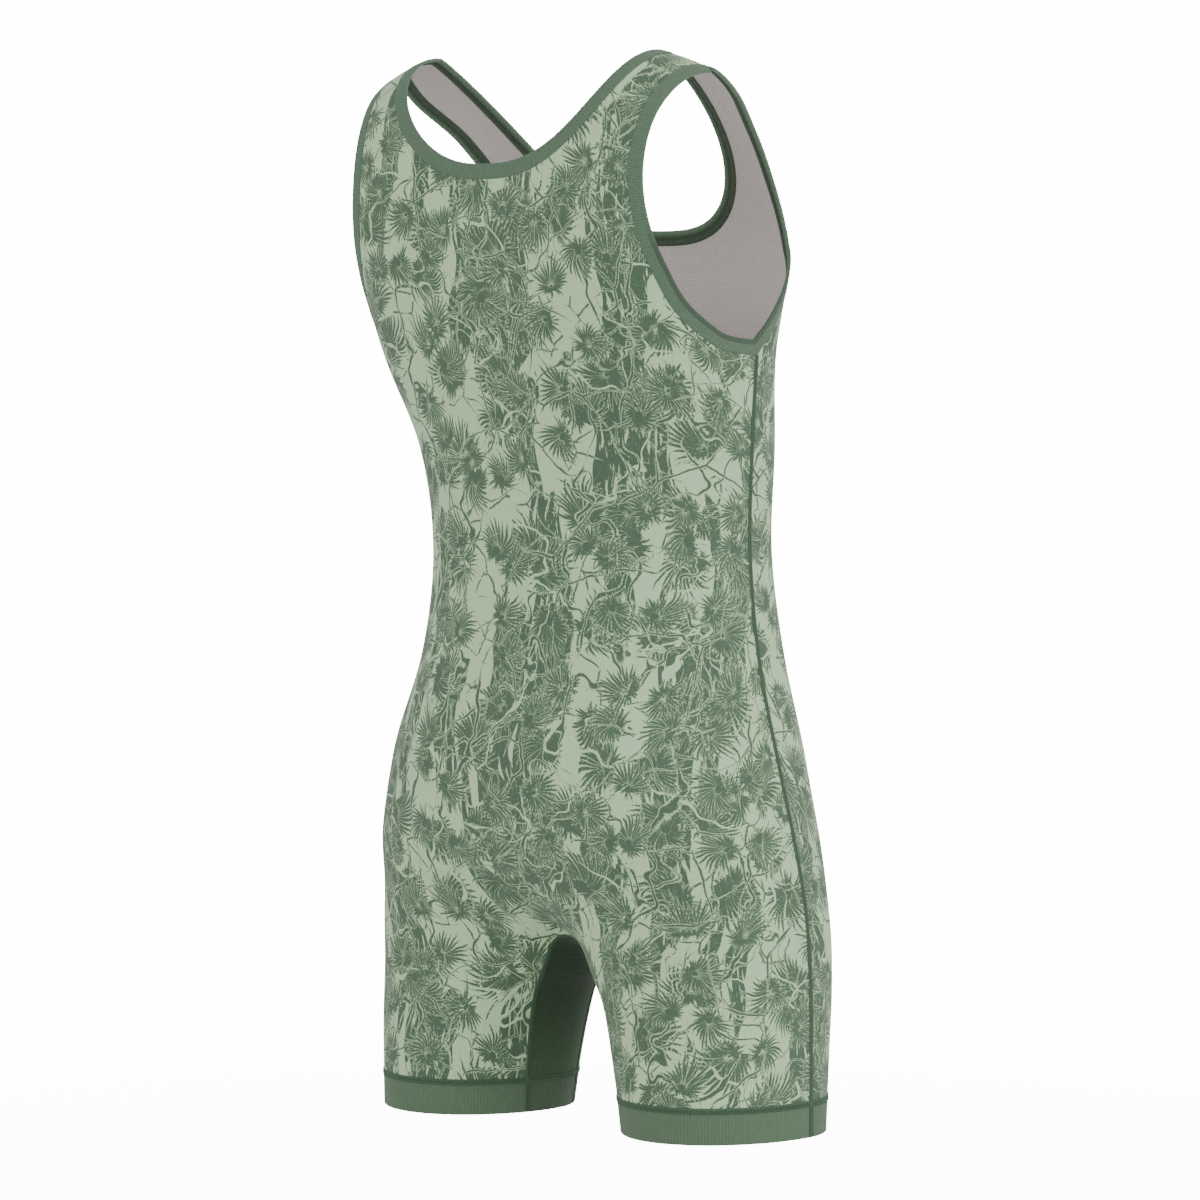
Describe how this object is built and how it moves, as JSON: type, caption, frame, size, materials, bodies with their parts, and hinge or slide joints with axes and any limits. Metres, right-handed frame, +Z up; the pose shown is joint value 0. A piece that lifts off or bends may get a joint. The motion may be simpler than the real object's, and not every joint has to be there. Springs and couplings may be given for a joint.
{
  "type": "wrestling singlet",
  "caption": "Hollow sleeveless wrestling suit with shoulder straps, scooped neck, deep armholes, short legs, an inner-leg gusset and bound edges, filled out as worn.",
  "frame": {"origin": "midway between the two straps, at the ridge where they rest on the shoulders", "axes": "+Z up along the body, +X to the wearer's left, +Y to the wearer's back"},
  "size_m": [0.3936, 0.2537, 0.8205],
  "materials": {
    "printed_knit": "matte stretch knit, pale sage with a darker green woodland print, plain warm grey inside",
    "plain_knit": "matte plain green stretch knit",
    "gusset_knit": "matte plain dark green stretch knit"
  },
  "bodies": {
    "root": {"back_panel": "printed_knit", "front_panel": "printed_knit", "leg_gusset": "gusset_knit", "neck_binding": "plain_knit", "armhole_binding_left": "plain_knit", "armhole_binding_right": "plain_knit", "hem_band_back_left": "plain_knit", "hem_band_front_left": "plain_knit", "hem_band_inner_left": "plain_knit", "hem_band_back_right": "plain_knit", "hem_band_front_right": "plain_knit", "hem_band_inner_right": "plain_knit"}
  },
  "joints": []
}
